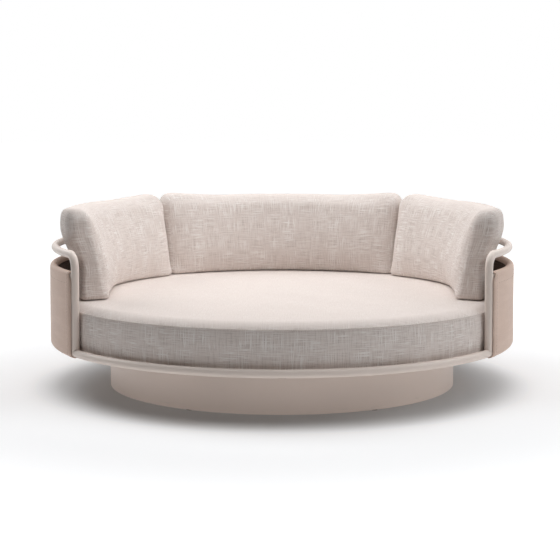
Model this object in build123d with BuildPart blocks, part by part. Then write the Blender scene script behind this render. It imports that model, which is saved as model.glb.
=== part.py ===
from build123d import *
import math
import os

# Round outdoor daybed. A drum base carries a round tube frame with a slatted deck. A bent rail
# on two posts runs round the back and holds a sling panel. A round mattress and three curved
# back cushions lie loose on it. Lengths are in millimetres. The origin is on the floor at the
# drum's centre, the front faces -Y and +Z is up. Angles of places round the bed are counted
# from the front, growing round to the left, so 90 is the left side and 180 the back.

full_turn = 360
half_turn = full_turn / 2
quarter_turn = full_turn / 4

# Frame of round tube
ring_radius = 1050.0
ring_height = 221.0
tube_diameter = 35.0
rail_rise = 425.0
rail_bend_radius = 57.0
post_angle = 58.3
rear_post_diameter = 19.0
rear_post_angles = (120.0, 180.0, 240.0)
weld_gap = 0.1

# Drum base
base_radius = 800.0
base_wall = 3.0
base_flange_width = 60.0
base_flange_thickness = 5.0
base_foot_width = 43.0
base_foot_thickness = 4.0
gusset_reach = 50.0
gusset_drop = 62.0
gusset_toe = 12.0
gusset_thickness = 5.0
gusset_count = 8
glide_radius = 18.0
glide_height = 3.0
glide_count = 6
leg_diameter = 60.0
leg_wall = 3.0
leg_plate_radius = 48.0
leg_plate_thickness = 5.0

# Deck of beams and slats
deck_above_ring = 3.0
slat_thickness = 8.0
slat_width = 70.0
slat_pitch = 130.0
slat_end_gap = 2.5
beam_width = 40.0
beam_depth = 30.0
beam_wall = 2.5
beam_offset = 380.0
beam_cut_length = 88.0
beam_cut_height = 15.0

# Bolts that hold the frame down on the drum
bolt_radius = 5.0
bolt_hole_clearance = 0.5
bolt_head_radius = 8.5
bolt_head_height = 6.4
bolt_reach = 20.0

# Sling panel round the back
panel_drop = 71.0
skin_thickness = 2.5
lining_thickness = 1.4
lining_gap = 0.3
hem_roll_radius = 12.0
hem_flap = 13.0
hem_tube_width = 15.0
hem_tube_height = 15.0
hem_tube_wall = 1.5
hem_tube_start = 0.5
roll_steps = 8
foot_wrap_angle = 100.0
foot_wrap_steps = 5
panel_end_gap = 1.0
panel_notch_clearance = 1.5
end_bar_thickness = 3.0
end_bar_width = 36.0

# Mattress
mattress_inset = 24.0
mattress_side_height = 192.5
mattress_crown = 15.0
mattress_side_crown = 5.0
mattress_edge_radius = 34.0
mattress_edge_steps = 4
mattress_dome_steps = 3
mattress_under_chamfer = 10.0
mattress_gap = 0.5
cover_thickness = 3.0
core_clearance = 0.5

# Back cushions
cushion_seat_gap = 0.8
cushion_foot_inset = 22.0
cushion_rail_gap = 11.0
cushion_height = 402.0
cushion_top_thickness = 112.0
side_cushion_foot_thickness = 186.0
centre_cushion_foot_thickness = 146.0
cushion_face_crown = 30.0
cushion_back_crown = 7.0
cushion_top_crown = 16.0
cushion_top_sag = 12.0
cushion_top_corner = 36.0
cushion_foot_corner = 22.0
cushion_end_depth = 62.0
cushion_joint_gap = 6.0
side_cushion_angle = 67.5
centre_cushion_angle = 139.6

# Each end of a cushion draws in: the distance from the end and what is left of the section
end_distance_shares = (0.0, 0.14, 0.42, 1.0)
end_thickness_shares = (0.62, 0.84, 0.95, 1.0)
end_height_shares = (0.85, 0.935, 0.98, 1.0)
end_crown_shares = (0.1, 0.2, 0.35, 0.55)
# Between the ends the crown fills out in this many steps
middle_steps = 6
foot_lift_share = 0.3

tube_radius = tube_diameter / 2
rear_post_radius = rear_post_diameter / 2
rail_height = ring_height + rail_rise
deck_top = ring_height + deck_above_ring
beam_top = deck_top - slat_thickness
beam_bottom = beam_top - beam_depth
flange_bottom = beam_bottom - base_flange_thickness
foot_top = glide_height + base_foot_thickness
wall_inner_radius = base_radius - base_wall
flange_mid_radius = base_radius - base_flange_width / 2
foot_mid_radius = base_radius - base_foot_width / 2
rail_radius = math.sqrt(ring_radius**2 - rail_bend_radius**2)
tube_outer_face = ring_radius + tube_radius
lining_inner_radius = tube_outer_face + lining_gap
skin_inner_radius = lining_inner_radius + lining_thickness + lining_gap
panel_radius = skin_inner_radius + skin_thickness
hem_radius = panel_radius - hem_roll_radius
hem_height = rail_height - panel_drop - hem_roll_radius
hem_inner_radius = hem_roll_radius - skin_thickness
lining_top = hem_height - hem_flap - lining_gap
rear_post_place = hem_radius - hem_tube_width / 2 - weld_gap - rear_post_radius
bolt_offset = math.sqrt(flange_mid_radius**2 - beam_offset**2)
bolt_hole_radius = bolt_radius + bolt_hole_clearance
panel_start = post_angle + math.degrees((tube_radius + panel_end_gap) / ring_radius)
panel_sweep = full_turn - 2 * panel_start
mattress_radius = ring_radius - mattress_inset
mattress_bottom = deck_top + mattress_gap
mattress_rim_height = mattress_bottom + mattress_side_height
cushion_foot_radius = mattress_radius - cushion_foot_inset
cushion_top_radius = rail_radius - tube_radius - cushion_rail_gap


def spot(radius, angle, height=0.0):
    """A point at a radius, an angle from the front and a height."""
    turn = math.radians(-quarter_turn - angle)
    return Vector(radius * math.cos(turn), radius * math.sin(turn), height)


def radial_plane(angle):
    """An upright plane through the axis: its x runs outwards and its y upwards."""
    return Plane(origin=(0, 0, 0), x_dir=spot(1, angle), z_dir=spot(1, angle + quarter_turn))


def save(made, label):
    made.part.label = label
    export_step(made.part, f"parts/{label}.step")


os.makedirs("parts", exist_ok=True)

# Shapes that cope a tube's end to the ring, to the rail and to the end posts
with BuildSketch(radial_plane(half_turn)) as ring_saddle:
    with Locations((ring_radius, ring_height)):
        Circle(tube_radius + weld_gap)
with BuildSketch(radial_plane(half_turn)) as rail_saddle:
    with Locations((rail_radius, rail_height)):
        Circle(tube_radius + weld_gap)
with BuildSketch(Plane.XY.offset(ring_height)) as end_post_plan:
    with Locations(spot(ring_radius, post_angle), spot(ring_radius, -post_angle)):
        Circle(tube_radius + weld_gap)
end_post_rise = rail_height - ring_height

# Drum base: a rolled wall that stands on a foot ring and carries a flange
with BuildPart() as base_drum:
    with BuildSketch(Plane.XY.offset(foot_top)):
        Circle(base_radius)
        Circle(wall_inner_radius, mode=Mode.SUBTRACT)
    extrude(amount=flange_bottom - foot_top)
save(base_drum, "base_drum")

bolt_spots = [
    (beam_offset, bolt_offset),
    (beam_offset, -bolt_offset),
    (-beam_offset, bolt_offset),
    (-beam_offset, -bolt_offset),
]
with BuildPart() as base_top_flange:
    with BuildSketch(Plane.XY.offset(flange_bottom)):
        Circle(base_radius)
        Circle(base_radius - base_flange_width, mode=Mode.SUBTRACT)
        with Locations(*bolt_spots):
            Circle(bolt_hole_radius, mode=Mode.SUBTRACT)
    extrude(amount=base_flange_thickness)
save(base_top_flange, "base_top_flange")

with BuildPart() as base_foot_ring:
    with BuildSketch(Plane.XY.offset(glide_height)):
        Circle(base_radius)
        Circle(base_radius - base_foot_width, mode=Mode.SUBTRACT)
    extrude(amount=base_foot_thickness)
save(base_foot_ring, "base_foot_ring")

# Gussets stiffen the flange from below, halfway between the beams' bolts
with BuildPart() as base_gussets:
    for index in range(gusset_count):
        with BuildSketch(radial_plane((index + 1 / 2) * full_turn / gusset_count)):
            with BuildLine():
                gusset_edge = wall_inner_radius - weld_gap
                Polyline(
                    (gusset_edge, flange_bottom),
                    (gusset_edge - gusset_reach, flange_bottom),
                    (gusset_edge - gusset_reach, flange_bottom - gusset_toe),
                    (gusset_edge - gusset_toe, flange_bottom - gusset_drop),
                    (gusset_edge, flange_bottom - gusset_drop),
                    close=True,
                )
            make_face()
        extrude(amount=gusset_thickness / 2, both=True)
save(base_gussets, "base_gussets")

# Plastic glides under the foot ring and the centre leg
with BuildPart() as base_glides:
    with BuildSketch(Plane.XY):
        Circle(glide_radius)
        with PolarLocations(foot_mid_radius, glide_count):
            Circle(glide_radius)
    extrude(amount=glide_height)
save(base_glides, "base_glides")

# Leg under the middle of the deck
with BuildPart() as centre_leg:
    with BuildSketch(Plane.XY.offset(glide_height)):
        Circle(leg_plate_radius)
    extrude(amount=leg_plate_thickness)
    with BuildSketch(Plane.XY.offset(glide_height + leg_plate_thickness)):
        Circle(leg_diameter / 2)
        Circle(leg_diameter / 2 - leg_wall, mode=Mode.SUBTRACT)
    extrude(amount=beam_bottom - glide_height - leg_plate_thickness)
save(centre_leg, "centre_leg")

# Ring of tube all round, two rolled halves that are butt welded under the sling
for ring_name, ring_start_angle in (("ring_front", quarter_turn), ("ring_back", -quarter_turn)):
    with BuildPart() as ring_half:
        with BuildSketch(radial_plane(ring_start_angle)):
            with Locations((ring_radius, ring_height)):
                Circle(tube_radius)
        revolve(axis=Axis.Z, revolution_arc=half_turn)
    save(ring_half, ring_name)

beam_centre_height = (beam_top + beam_bottom) / 2
beam_limit_radius = ring_radius - tube_radius - weld_gap
beam_bore_depth = beam_depth - 2 * beam_wall
beam_bore_width = beam_width - 2 * beam_wall
# The beams' ends are cut away on a slope below, so that they don't show under the ring
with BuildSketch(radial_plane(0)) as beam_cut:
    with BuildLine():
        Polyline(
            (ring_radius - beam_cut_length, beam_bottom),
            (ring_radius, beam_bottom),
            (ring_radius, beam_bottom + beam_cut_height),
            close=True,
        )
    make_face()


def beam(label, centre_x, length_x, length_y, bore_x, bore_y):
    """A rectangular tube under the slats, ended on the ring's inner side where it reaches it."""
    with BuildPart() as made:
        with Locations((centre_x, 0, beam_centre_height)):
            Box(length_x, length_y, beam_depth)
            Box(bore_x, bore_y, beam_bore_depth, mode=Mode.SUBTRACT)
        with BuildSketch(Plane.XY.offset(beam_bottom)):
            Circle(beam_limit_radius)
        extrude(amount=beam_depth, mode=Mode.INTERSECT)
        with BuildSketch(Plane.XY.offset(beam_bottom)):
            with Locations(*bolt_spots):
                Circle(bolt_radius + weld_gap)
        extrude(amount=beam_wall, mode=Mode.SUBTRACT)
        revolve(beam_cut.sketch, axis=Axis.Z, mode=Mode.SUBTRACT)
    save(made, label)


full_length = 2 * ring_radius
for beam_name, beam_x in (("left", -beam_offset), ("centre", 0), ("right", beam_offset)):
    beam(f"deck_beam_{beam_name}", beam_x, beam_width, full_length, beam_bore_width, full_length)
outer_start = beam_offset + beam_width / 2 + weld_gap
outer_length = ring_radius - outer_start
outer_middle = outer_start + outer_length / 2
inner_length = beam_offset - beam_width - 2 * weld_gap
for side_name, side in (("left", -1), ("right", 1)):
    outer_x = side * outer_middle
    beam(f"cross_beam_outer_{side_name}", outer_x, outer_length, beam_width, outer_length, beam_bore_width)
    inner_x = side * beam_offset / 2
    beam(f"cross_beam_inner_{side_name}", inner_x, inner_length, beam_width, inner_length, beam_bore_width)

# Slats from side to side, their ends rounded off to the ring
slat_limit_radius = ring_radius - tube_radius - slat_end_gap
slats_each_side = int((slat_limit_radius - slat_width / 2) / slat_pitch)
with BuildPart() as deck_slats:
    with BuildSketch(Plane.XY.offset(beam_top)):
        for index in range(-slats_each_side, slats_each_side + 1):
            with Locations((0, index * slat_pitch)):
                Rectangle(2 * ring_radius, slat_width)
        Circle(slat_limit_radius, mode=Mode.INTERSECT)
    extrude(amount=slat_thickness)
save(deck_slats, "deck_slats")

# Bolts go up through the flange into the side beams, where they are screwed in
with BuildPart() as base_bolts:
    with BuildSketch(Plane.XY.offset(flange_bottom - bolt_head_height)):
        with Locations(*bolt_spots):
            RegularPolygon(bolt_head_radius, 6, major_radius=False)
    extrude(amount=bolt_head_height)
    with BuildSketch(Plane.XY.offset(flange_bottom)):
        with Locations(*bolt_spots):
            Circle(bolt_radius)
    extrude(amount=bolt_reach)
save(base_bolts, "base_bolts")

# Each end post stands on the ring and ends in a tight bend. Between the bends the rail is two
# rolled arcs that are butt welded over the middle rear post.
bend_angle = post_angle + math.degrees(math.atan2(rail_bend_radius, rail_radius))
bend_height = rail_height - rail_bend_radius
for side_name, side in (("left", 1), ("right", -1)):
    with BuildSketch(radial_plane(side * bend_angle)) as bend_section:
        with Locations((rail_radius, rail_height)):
            Circle(tube_radius)
    with BuildPart() as end_post:
        bend_centre = spot(rail_radius, side * bend_angle, bend_height)
        bend_axis = Axis(bend_centre, spot(-side, side * bend_angle))
        revolve(bend_section.sketch, axis=bend_axis, revolution_arc=quarter_turn)
        with BuildSketch(Plane.XY.offset(ring_height)):
            with Locations(spot(ring_radius, side * post_angle)):
                Circle(tube_radius)
        extrude(amount=bend_height - ring_height)
        revolve(ring_saddle.sketch, axis=Axis.Z, mode=Mode.SUBTRACT)
    save(end_post, f"end_post_{side_name}")

    with BuildPart() as rail_arc:
        with BuildSketch(radial_plane(half_turn if side > 0 else -bend_angle)):
            with Locations((rail_radius, rail_height)):
                Circle(tube_radius)
        revolve(axis=Axis.Z, revolution_arc=half_turn - bend_angle)
    save(rail_arc, f"rail_{side_name}")

# Thin posts inside the sling carry the rail at the back
rear_post_names = ("rear_post_left", "rear_post_back", "rear_post_right")
for rear_post_name, rear_post_angle in zip(rear_post_names, rear_post_angles):
    rear_foot = spot(rear_post_place, rear_post_angle)
    with BuildPart() as rear_post:
        with BuildSketch(Plane.XY.offset(ring_height)):
            with Locations((rear_foot.X, rear_foot.Y)):
                Circle(rear_post_radius)
        extrude(amount=rail_height - ring_height)
        revolve(ring_saddle.sketch, axis=Axis.Z, mode=Mode.SUBTRACT)
        revolve(rail_saddle.sketch, axis=Axis.Z, mode=Mode.SUBTRACT)
    save(rear_post, rear_post_name)

# Rectangular hem tube in the sling's top edge, welded to all the posts
with BuildPart() as panel_hem_tube:
    with BuildSketch(radial_plane(-post_angle - hem_tube_start)):
        with Locations((hem_radius, hem_height - hem_inner_radius / 2)):
            Rectangle(hem_tube_width, hem_tube_height)
            offset(amount=-hem_tube_wall, mode=Mode.SUBTRACT)
    revolve(axis=Axis.Z, revolution_arc=full_turn - 2 * (post_angle + hem_tube_start))
    extrude(end_post_plan.sketch, amount=end_post_rise, mode=Mode.SUBTRACT)
save(panel_hem_tube, "panel_hem_tube")

# Skin of the sling: it rolls over the hem tube and wraps under the ring. Its section follows
# both rounds in short straight steps.
hem_corner = hem_inner_radius / 2
flap_low = hem_height - hem_flap
flap_inner = hem_radius - hem_roll_radius
wrap_inner_radius = skin_inner_radius - ring_radius
wrap_outer_radius = panel_radius - ring_radius


def round_points(centre, radius, first_angle, last_angle, steps):
    """Points on a round from one angle to another, in equal steps."""
    turns = [first_angle + (last_angle - first_angle) * step / steps for step in range(steps + 1)]
    return [centre + Vector(radius, 0).rotate(Axis.Z, turn) for turn in turns]


hem_centre = Vector(hem_radius, hem_height)
ring_centre = Vector(ring_radius, ring_height)
with BuildPart() as back_panel:
    with BuildSketch(radial_plane(-panel_start)):
        with BuildLine():
            Polyline(
                *round_points(hem_centre, hem_roll_radius, 0, half_turn, roll_steps),
                (flap_inner, flap_low),
                (flap_inner + skin_thickness, flap_low),
                (flap_inner + skin_thickness, hem_height + hem_corner),
                (hem_radius - hem_corner, hem_height + hem_inner_radius),
                (hem_radius + hem_corner, hem_height + hem_inner_radius),
                (skin_inner_radius, hem_height + hem_corner),
                *round_points(ring_centre, wrap_inner_radius, 0, -foot_wrap_angle, foot_wrap_steps),
                *round_points(ring_centre, wrap_outer_radius, -foot_wrap_angle, 0, foot_wrap_steps),
                close=True,
            )
        make_face()
    revolve(axis=Axis.Z, revolution_arc=panel_sweep)
    with BuildSketch(Plane.XY.offset(hem_height - 2 * hem_flap)):
        with Locations(*[spot(rear_post_place, angle) for angle in rear_post_angles]):
            Circle(rear_post_radius + panel_notch_clearance)
    extrude(amount=rail_height - hem_height, mode=Mode.SUBTRACT)
save(back_panel, "back_panel")

# Woven lining on the sling's inner side
with BuildPart() as panel_lining:
    with BuildSketch(radial_plane(-panel_start)):
        with Locations((lining_inner_radius, ring_height)):
            Rectangle(lining_thickness, lining_top - ring_height, align=(Align.MIN, Align.MIN))
    revolve(axis=Axis.Z, revolution_arc=panel_sweep)
save(panel_lining, "panel_lining")

# Flat bars on the end posts, inside the sling's end hems
bar_bottom = ring_height + tube_radius
bar_top = lining_top
bar_place = tube_outer_face - end_bar_thickness / 2
bar_turn = math.degrees(end_bar_width / 2 / ring_radius)
for bar_name, bar_side in (("panel_bar_left", 1), ("panel_bar_right", -1)):
    bar_angle = bar_side * (post_angle + bar_turn)
    bar_spot = spot(bar_place, bar_angle)
    with BuildPart() as panel_bar:
        with BuildSketch(Plane.XY.offset(bar_bottom)):
            with Locations((bar_spot.X, bar_spot.Y)):
                Rectangle(end_bar_thickness, end_bar_width, rotation=-quarter_turn - bar_angle)
        extrude(amount=bar_top - bar_bottom)
        extrude(end_post_plan.sketch, amount=end_post_rise, mode=Mode.SUBTRACT)
    save(panel_bar, bar_name)


mattress_edge = mattress_radius - mattress_side_crown
mattress_fall_radius = mattress_edge**2 / (2 * mattress_crown)


def mattress_top(radius):
    """Height of the mattress's crowned top at a radius: it falls off with the radius squared."""
    return mattress_rim_height + mattress_crown - radius**2 / (2 * mattress_fall_radius)


def dome_points(inset, edge_radius):
    """Points down the crowned top, from the flat middle to where the edge begins to round off."""
    last = mattress_edge - inset - edge_radius
    radii = [last * math.sqrt(step / mattress_dome_steps) for step in range(mattress_dome_steps + 1)]
    middle = (0, mattress_top(radii[1]) - inset)
    return [middle] + [(radius, mattress_top(radius) - inset) for radius in radii[1:]]


def mattress_half():
    """Half section of the round mattress, from its axis to its crowned side."""
    side_middle_height = (mattress_bottom + mattress_rim_height) / 2
    edge_top = mattress_top(mattress_edge - mattress_edge_radius)
    edge_centre = Vector(mattress_edge - mattress_edge_radius, edge_top - mattress_edge_radius)
    with BuildSketch(radial_plane(0)) as half:
        with BuildLine():
            Polyline(
                (0, mattress_bottom),
                *dome_points(0, mattress_edge_radius),
                *round_points(edge_centre, mattress_edge_radius, quarter_turn, 0, mattress_edge_steps)[1:],
                (mattress_radius, side_middle_height),
                (mattress_edge, mattress_bottom + mattress_under_chamfer),
                (mattress_edge - mattress_under_chamfer, mattress_bottom),
                close=True,
            )
        make_face()
    return half.sketch


def mattress_core_half(inset):
    """Half section of the mattress's cut foam, inside the cover by an inset."""
    edge = mattress_edge - inset
    low = mattress_bottom + inset
    with BuildSketch(radial_plane(0)) as half:
        with BuildLine():
            Polyline(
                (0, low),
                *dome_points(inset, mattress_edge_radius),
                (edge, mattress_rim_height - mattress_edge_radius),
                (edge, low + mattress_under_chamfer),
                (edge - mattress_under_chamfer, low),
                close=True,
            )
        make_face()
    return half.sketch


with BuildPart() as mattress_cover:
    revolve(mattress_half(), axis=Axis.Z)
    revolve(mattress_core_half(cover_thickness), axis=Axis.Z, mode=Mode.SUBTRACT)
save(mattress_cover, "mattress_cover")

with BuildPart() as mattress_core:
    revolve(mattress_core_half(cover_thickness + core_clearance), axis=Axis.Z)
save(mattress_core, "mattress_core")


def cushion_section(angle, foot_thickness, shares, inset, padded):
    """Section across a cushion: it stands on the mattress, and its crowned face leans back.

    The padded cover has crowned sides and round corners. The foam inside is cut flat.
    """
    thickness_share, height_share, crown_share = shares
    foot_half = foot_thickness / 2 * thickness_share - inset
    foot_inner = cushion_foot_radius - foot_thickness / 2 - foot_half
    foot_outer = cushion_foot_radius - foot_thickness / 2 + foot_half
    top_half = cushion_top_thickness / 2 * thickness_share - inset
    top_inner = cushion_top_radius - cushion_top_thickness / 2 - top_half
    top_outer = cushion_top_radius - cushion_top_thickness / 2 + top_half
    lost = cushion_height * (1 - height_share)
    lift = cushion_seat_gap + lost * foot_lift_share + inset
    top = mattress_top(cushion_foot_radius) + cushion_height - inset
    top = top - lost * (1 - foot_lift_share) - cushion_top_sag * crown_share
    foot_inner_point = (foot_inner, mattress_top(foot_inner) + lift)
    foot_outer_point = (foot_outer, mattress_top(foot_outer) + lift)
    top_outer_point = (top_outer, top)
    top_inner_point = (top_inner, top)
    middle_height = (foot_outer_point[1] + top) / 2
    face_middle = (foot_inner + top_inner) / 2 - cushion_face_crown * crown_share
    back_middle = (foot_outer + top_outer) / 2 + cushion_back_crown * crown_share
    face_point = (face_middle, middle_height)
    back_point = (back_middle, middle_height)
    crown_point = ((top_inner + top_outer) / 2, top + cushion_top_crown * thickness_share)
    foot_corner = cushion_foot_corner * thickness_share - inset
    top_corner = cushion_top_corner * thickness_share - inset
    with BuildSketch(radial_plane(angle)) as section:
        with BuildLine():
            Line(foot_inner_point, foot_outer_point)
            if padded:
                ThreePointArc(foot_outer_point, back_point, top_outer_point)
                ThreePointArc(top_outer_point, crown_point, top_inner_point)
                ThreePointArc(top_inner_point, face_point, foot_inner_point)
            else:
                Polyline(foot_outer_point, back_point, top_outer_point)
                Line(top_outer_point, top_inner_point)
                Polyline(top_inner_point, face_point, foot_inner_point)
        make_face()
        round_off = fillet if padded else chamfer
        round_off(section.vertices().sort_by(Axis.Y)[:2], foot_corner)
        round_off(section.vertices().sort_by(Axis.Y)[-2:], top_corner)
    return section.sketch


def cushion_sections(first_angle, last_angle, foot_thickness, inset, padded):
    """Sections of a cushion bent round the bed, from one end to the other."""
    arc_radius = cushion_top_radius - cushion_top_thickness
    inset_turn = math.degrees(inset / arc_radius)
    end_turn = math.degrees(cushion_end_depth / arc_radius)
    ends = list(zip(end_distance_shares, end_thickness_shares, end_height_shares, end_crown_shares))
    first = first_angle + inset_turn
    last = last_angle - inset_turn
    middle_turn = last - first - 2 * end_turn
    stations = [(first + shares[0] * end_turn, shares[1:]) for shares in ends]
    for step in range(1, middle_steps):
        place = step / middle_steps
        crown = end_crown_shares[-1] + (1 - end_crown_shares[-1]) * math.sin(math.pi * place)
        stations.append((first + end_turn + place * middle_turn, (1, 1, crown)))
    stations += [(last - shares[0] * end_turn, shares[1:]) for shares in reversed(ends)]
    return [cushion_section(turned, foot_thickness, shares, inset, padded) for turned, shares in stations]


joint_turn = math.degrees(cushion_joint_gap / 2 / cushion_foot_radius)
side_end = centre_cushion_angle - joint_turn
centre_start = centre_cushion_angle + joint_turn
cushions = (
    ("left_cushion", side_cushion_angle, side_end, side_cushion_foot_thickness),
    ("centre_cushion", centre_start, full_turn - centre_start, centre_cushion_foot_thickness),
    ("right_cushion", full_turn - side_end, full_turn - side_cushion_angle, side_cushion_foot_thickness),
)
for cushion_name, first_angle, last_angle, foot_thickness in cushions:
    place = (first_angle, last_angle, foot_thickness)
    with BuildPart() as cushion_cover:
        loft(cushion_sections(*place, 0, True), ruled=True)
        loft(cushion_sections(*place, cover_thickness, False), ruled=True, mode=Mode.SUBTRACT)
    save(cushion_cover, f"{cushion_name}_cover")
    with BuildPart() as cushion_core:
        loft(cushion_sections(*place, cover_thickness + core_clearance, False), ruled=True)
    save(cushion_core, f"{cushion_name}_core")
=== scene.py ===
import math

import bmesh
import bpy
import numpy as np
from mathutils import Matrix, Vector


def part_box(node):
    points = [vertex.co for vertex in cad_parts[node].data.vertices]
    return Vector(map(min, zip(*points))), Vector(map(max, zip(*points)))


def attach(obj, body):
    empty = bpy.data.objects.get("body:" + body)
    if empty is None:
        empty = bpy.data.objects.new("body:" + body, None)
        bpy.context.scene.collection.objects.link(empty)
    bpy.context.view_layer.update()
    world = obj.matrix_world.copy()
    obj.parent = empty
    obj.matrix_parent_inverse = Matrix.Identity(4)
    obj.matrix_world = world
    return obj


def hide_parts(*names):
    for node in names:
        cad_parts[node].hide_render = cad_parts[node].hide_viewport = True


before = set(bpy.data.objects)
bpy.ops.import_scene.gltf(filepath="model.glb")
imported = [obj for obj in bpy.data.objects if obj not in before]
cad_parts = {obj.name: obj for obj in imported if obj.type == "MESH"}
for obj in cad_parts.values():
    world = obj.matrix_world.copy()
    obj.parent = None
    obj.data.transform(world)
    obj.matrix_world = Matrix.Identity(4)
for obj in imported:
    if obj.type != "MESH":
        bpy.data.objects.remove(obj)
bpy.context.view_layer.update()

# Lengths are in metres. Angles round the bed are in degrees from the front and grow round to the
# left, as in the part.

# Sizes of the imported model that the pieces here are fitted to
ring_low, ring_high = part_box("ring_front")
rail_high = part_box("rail_left")[1]
panel_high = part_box("back_panel")[1]
lining_low, lining_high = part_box("panel_lining")
mattress_low, mattress_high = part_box("mattress_cover")

TUBE_RADIUS = (ring_high.z - ring_low.z) / 2
RING_HEIGHT = (ring_high.z + ring_low.z) / 2
RING_RADIUS = ring_high.x - TUBE_RADIUS
RAIL_RADIUS = rail_high.y - TUBE_RADIUS

# Mattress
MATTRESS_RADIUS = mattress_high.x
MATTRESS_BOTTOM = mattress_low.z
MATTRESS_TOP = mattress_high.z
MATTRESS_CROWN = 0.009
MATTRESS_BELLY = 0.005
BELLY_POWER = 0.8
MATTRESS_EDGE_ROUND = 0.105
MATTRESS_CHAMFER = 0.010
MATTRESS_SIDE = MATTRESS_RADIUS - MATTRESS_BELLY
MATTRESS_CELLS = 150
MATTRESS_WELD = 0.0003
SHOULDER_ROWS = 12
BELLY_ROWS = 26
UNDER_ROWS = 5

# Mattress seam, the gathers that run out of it and the slow dips of the foam
SEAM_TURN = 48.0
SEAM_RADIUS = 0.0024
SEAM_INSET = 0.0005
SEAM_GIRTH = 9
SEAM_OUT = 0.45
SEAM_UP = 0.25
SEAM_COLUMNS = 720
SEAM_WELD = 0.00002
GATHER_TOP = 0.0012
GATHER_SIDE = 0.0011
GATHER_REACH = 0.05
GATHER_START = 0.004
GATHER_INNER = 0.5
DIP_DEPTH = 0.0012
DIP_RADIUS = 0.80
DIP_FADE = 0.2

# Where cloth starts on the flat sheet: the mattress's side, its seam, and the step from one pair
# of a cushion's sides to the next
SIDE_CLOTH = 5.0
SEAM_CLOTH = 9.0
CUSHION_CLOTH = 2.0

# Back cushions: the angles of their two ends, how far the foot reaches in from the mattress's rim
# and how far the back's foot lies inside its top
SIDE_START = 67.5
LEFT_JOINT = 139.3
RIGHT_JOINT = 360 - 140.1
JOINT_TURN = 0.17
CUSHIONS = (
    ("left_cushion", SIDE_START, LEFT_JOINT - JOINT_TURN, 0.208, 0.062),
    ("centre_cushion", LEFT_JOINT + JOINT_TURN, RIGHT_JOINT - JOINT_TURN, 0.168, 0.050),
    ("right_cushion", RIGHT_JOINT + JOINT_TURN, 360 - SIDE_START, 0.208, 0.062),
)
RAIL_GAP = 0.006
CUSHION_TOP_THICKNESS = 0.128
CUSHION_TOP_OUTER = RAIL_RADIUS - TUBE_RADIUS - RAIL_GAP
CUSHION_HEIGHT = 0.405
CUSHION_MIDDLE = 0.95
CUSHION_CELL = 0.0115
CUSHION_WELD = 0.0001
SEAT_GAP = 0.0008

# Roundings of a cushion's edges; where there are two, they are those of the foot and of the top
CORNER_STEPS = 4
END_ROUND = 0.048
FACE_ROUND = (0.014, 0.048)
HEIGHT_ROUND = (0.012, 0.048)
END_FACE_ROUND = 0.045
END_LENGTH = 0.12
BACK_ROUND = 0.024

# Crowns of a cushion, with the distances from its ends over which they grow
FACE_CROWN = 0.038
CROWN_PLACE = 0.72
CROWN_LENGTHS = (0.16, 0.5)
CROWN_SHARES = (0.7, 0.3)
TOP_CROWN = 0.022
TOP_PEAK = 0.3
TOP_SAG = 0.016
SAG_LENGTH = 0.40
END_DROP = 0.019
END_TAPER = 0.03
DROP_LENGTH = 0.085

# Lean of a cushion's back, as shares of the height, and swell of its foot before the near end
LEAN_START = 0.3
LEAN_REACH = 0.55
FOOT_SWELL = 0.024
SWELL_ANGLE = 88.0
SWELL_WIDTH = 12.0

# Filling of a cushion
CLOTH_PRESSURE = 4
CLOTH_QUALITY = 5
CLOTH_FRAMES = 20
FILL_CAP = 0.010
FILL_ROOM = 0.004
FILL_MARGIN = 0.001
CALM_ROUNDS = 14
FOOT_REACH = 0.06

# Sling panel
POST_ANGLE = 58.3
END_GAP = 0.001
PANEL_START = POST_ANGLE + math.degrees((TUBE_RADIUS + END_GAP) / RING_RADIUS)
PANEL_RADIUS = panel_high.y
SKIN = 0.0025
SKIN_CELL = 0.016
ROLL_RADIUS = 0.0165
ROLL_PLACE = PANEL_RADIUS - ROLL_RADIUS
ROLL_HEIGHT = panel_high.z - ROLL_RADIUS
FLAP = 0.010
WRAP_TURN = 100.0
END_REACH = 0.0185
REACH_FADE = 0.006
HEM_WIDTH = 0.026
HEM_RISE = 0.0009
HEM_FOLD = 0.003
REAR_POSTS = (120.0, 180.0, 240.0)
NOTCH = 0.011
NOTCH_TURN = math.degrees(NOTCH / ROLL_PLACE)

# Rows of the skin's section, and the rows at the roll's crest and at its end
FLAP_ROWS = 3
ROLL_ROWS = 13
SIDE_ROWS = 18
WRAP_ROWS = 11
ROLL_CREST = FLAP_ROWS + ROLL_ROWS // 2
ROLL_END = FLAP_ROWS + ROLL_ROWS - 1

# How the stretched skin stands out
SLOW_PULL = 0.0011
QUICK_PULL = 0.0007
PULL_FADE = 0.03
PULL_START = 0.02
PULL_END = 0.05

# Lining
LINING_WALL = 0.0012
LINING_INSET = 0.0007
LINING_ROWS = 12
LINING_COLUMNS = 300

# Stitches
STITCH_PITCH = 0.0062
STITCH_LENGTH = 0.0044
STITCH_THICKNESS = 0.0011
STITCH_INSETS = (0.016, 0.022)
STITCH_MARGIN = 0.03
STITCH_RINGS = 5
STITCH_GIRTH = 7
STITCH_WELD = 0.00008

# Yarns of the cloths
LINEN_YARN = 0.0017
MESH_YARN = 0.0021

# Floor: what it throws back and what it shows, with the radii between which its glow changes
WHITE = (1.0, 1.0, 1.0, 1.0)
BLACK = (0.0, 0.0, 0.0, 1.0)
FLOOR_REACH = 40.0
FLOOR_THROWN = (0.92, 0.92, 0.92, 1.0)
FLOOR_SHOWN = (0.585, 0.62, 0.645, 1.0)
NEAR_GLOW = (0.465, 0.44, 0.43, 1.0)
NEAR_GLOW_RING = (0.90, 1.22)
WHITE_RING = (1.5, 3.0)
THROWN_GLOW = (0.25, 0.25, 0.25, 1.0)
THROWN_GLOW_RING = (1.1, 2.6)
AMBIENT = 0.04

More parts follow.
